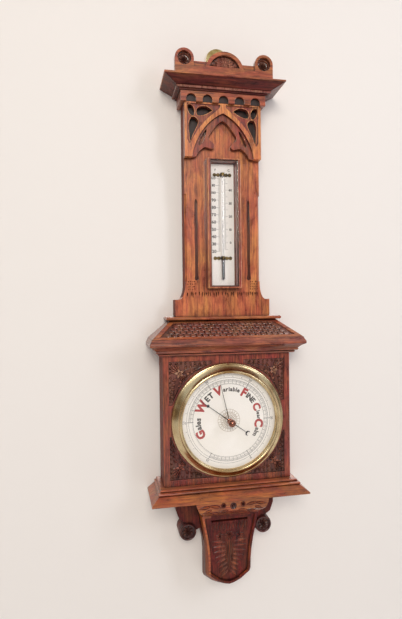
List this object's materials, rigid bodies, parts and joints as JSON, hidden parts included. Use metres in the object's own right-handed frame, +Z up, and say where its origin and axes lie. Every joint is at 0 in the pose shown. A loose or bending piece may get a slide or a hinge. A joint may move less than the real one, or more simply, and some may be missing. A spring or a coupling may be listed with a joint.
{
  "type": "banjo barometer",
  "caption": "Carved oak wall barometer: a round glazed dial in a square case under a splayed roof, with a boxed thermometer and pierced arch on the neck above.",
  "frame": {"origin": "on the dial's axis, in the flat plane of the back that lies against the wall", "axes": "+Z up along the neck, +Y into the wall, +X to the right seen from the front; the front looks along -Y"},
  "size_m": [0.3384, 0.1086, 1.2143],
  "materials": {
    "oak": "varnished, glossy, warm orange-brown",
    "dark_oak": "varnished, glossy, dark red-brown",
    "brass": "polished and lacquered",
    "steel": "fine brushed",
    "blued_steel": "heat blued, polished",
    "copper": "polished red copper alloy",
    "porcelain": "glazed white with printed scales",
    "clear_glass": "clear, polished",
    "quicksilver": "liquid metal"
  },
  "bodies": {
    "case": {"case_side_left": "oak", "case_side_right": "oak", "case_top_board": "oak", "case_bottom_board": "oak", "case_back_board": "oak", "case_front_board": "oak", "movement_drum": "brass", "movement_plate": "brass", "aneroid_capsule": "brass", "mainspring_bridge": "steel", "hairspring": "blued_steel", "dial_plate": "porcelain", "spacer_ring": "brass", "dial_glass": "clear_glass", "bezel": "brass", "neck_board": "oak", "hanging_plate": "brass", "plate_screw_lower": "brass", "plate_screw_upper": "brass", "scale_plate": "porcelain", "thermometer_frame": "dark_oak", "thermometer_glass": "clear_glass", "thermometer_tube": "clear_glass", "mercury_column": "quicksilver", "tube_clip_upper": "brass", "tube_clip_lower": "brass", "head_block": "oak", "frieze_board": "oak", "tracery_panel": "oak", "cusped_arch": "oak", "cornice_front": "dark_oak", "cornice_left": "dark_oak", "cornice_right": "dark_oak", "cornice_top_board": "oak", "crest_board": "oak", "crest_shell": "dark_oak", "lunette_boss_left": "dark_oak", "lunette_boss_right": "dark_oak", "thin_shelf": "oak", "roof_panel_front": "dark_oak", "roof_panel_left": "dark_oak", "roof_panel_right": "dark_oak", "hood_moulding_front": "oak", "hood_moulding_left": "oak", "hood_moulding_right": "oak", "base_reeds": "oak", "base_board": "oak", "apron_block": "oak", "console_body": "oak", "tail_board": "oak", "ear_boss_left": "dark_oak", "ear_boss_right": "dark_oak"},
    "indicator": {"indicator_hand": "blued_steel", "hand_arbor": "steel"},
    "set_pointer": {"set_hand": "brass", "set_knob": "copper"},
    "lever": {"main_lever": "steel"},
    "rocker": {"rocker_shaft": "steel"},
    "chain": {"fusee_chain": "steel"},
    "regulator": {"regulating_screw": "steel"}
  },
  "joints": [
    {"name": "indicator_hand_spin", "type": "hinge", "parent": "case", "child": "indicator", "pos_m": [0, -0.075, 0], "axis": [0, 1, 0], "range_deg": [-96, 204], "stiffness_Nm_per_rad": 0.002},
    {"name": "lever_pivot", "type": "hinge", "parent": "case", "child": "lever", "pos_m": [-0.0517, -0.0483, 0], "axis": [0, 0, 1], "range_deg": [-1.4, 0.7]},
    {"name": "rocker_pivot", "type": "hinge", "parent": "case", "child": "rocker", "pos_m": [0.004, -0.0464, -0.05197], "axis": [1, 0, 0], "range_deg": [-6.5, 13.7]},
    {"name": "chain_pull", "type": "slide", "parent": "case", "child": "chain", "axis": [0, 0, 1], "range_m": [-0.0039, 0.0019]},
    {"name": "set_hand_spin", "type": "hinge", "parent": "case", "child": "set_pointer", "pos_m": [0, -0.08, 0], "axis": [0, 1, 0], "continuous": true},
    {"name": "regulating_screw_turn", "type": "hinge", "parent": "case", "child": "regulator", "pos_m": [-0.056, -0.012, 0], "axis": [0, 1, 0], "continuous": true}
  ],
  "couplings": [
    {"joint": "rocker_pivot", "follows": "indicator_hand_spin", "ratio": 0.066667},
    {"joint": "lever_pivot", "follows": "indicator_hand_spin", "ratio": -0.0066667},
    {"joint": "chain_pull", "follows": "indicator_hand_spin", "m_per_rad": -0.00106}
  ]
}
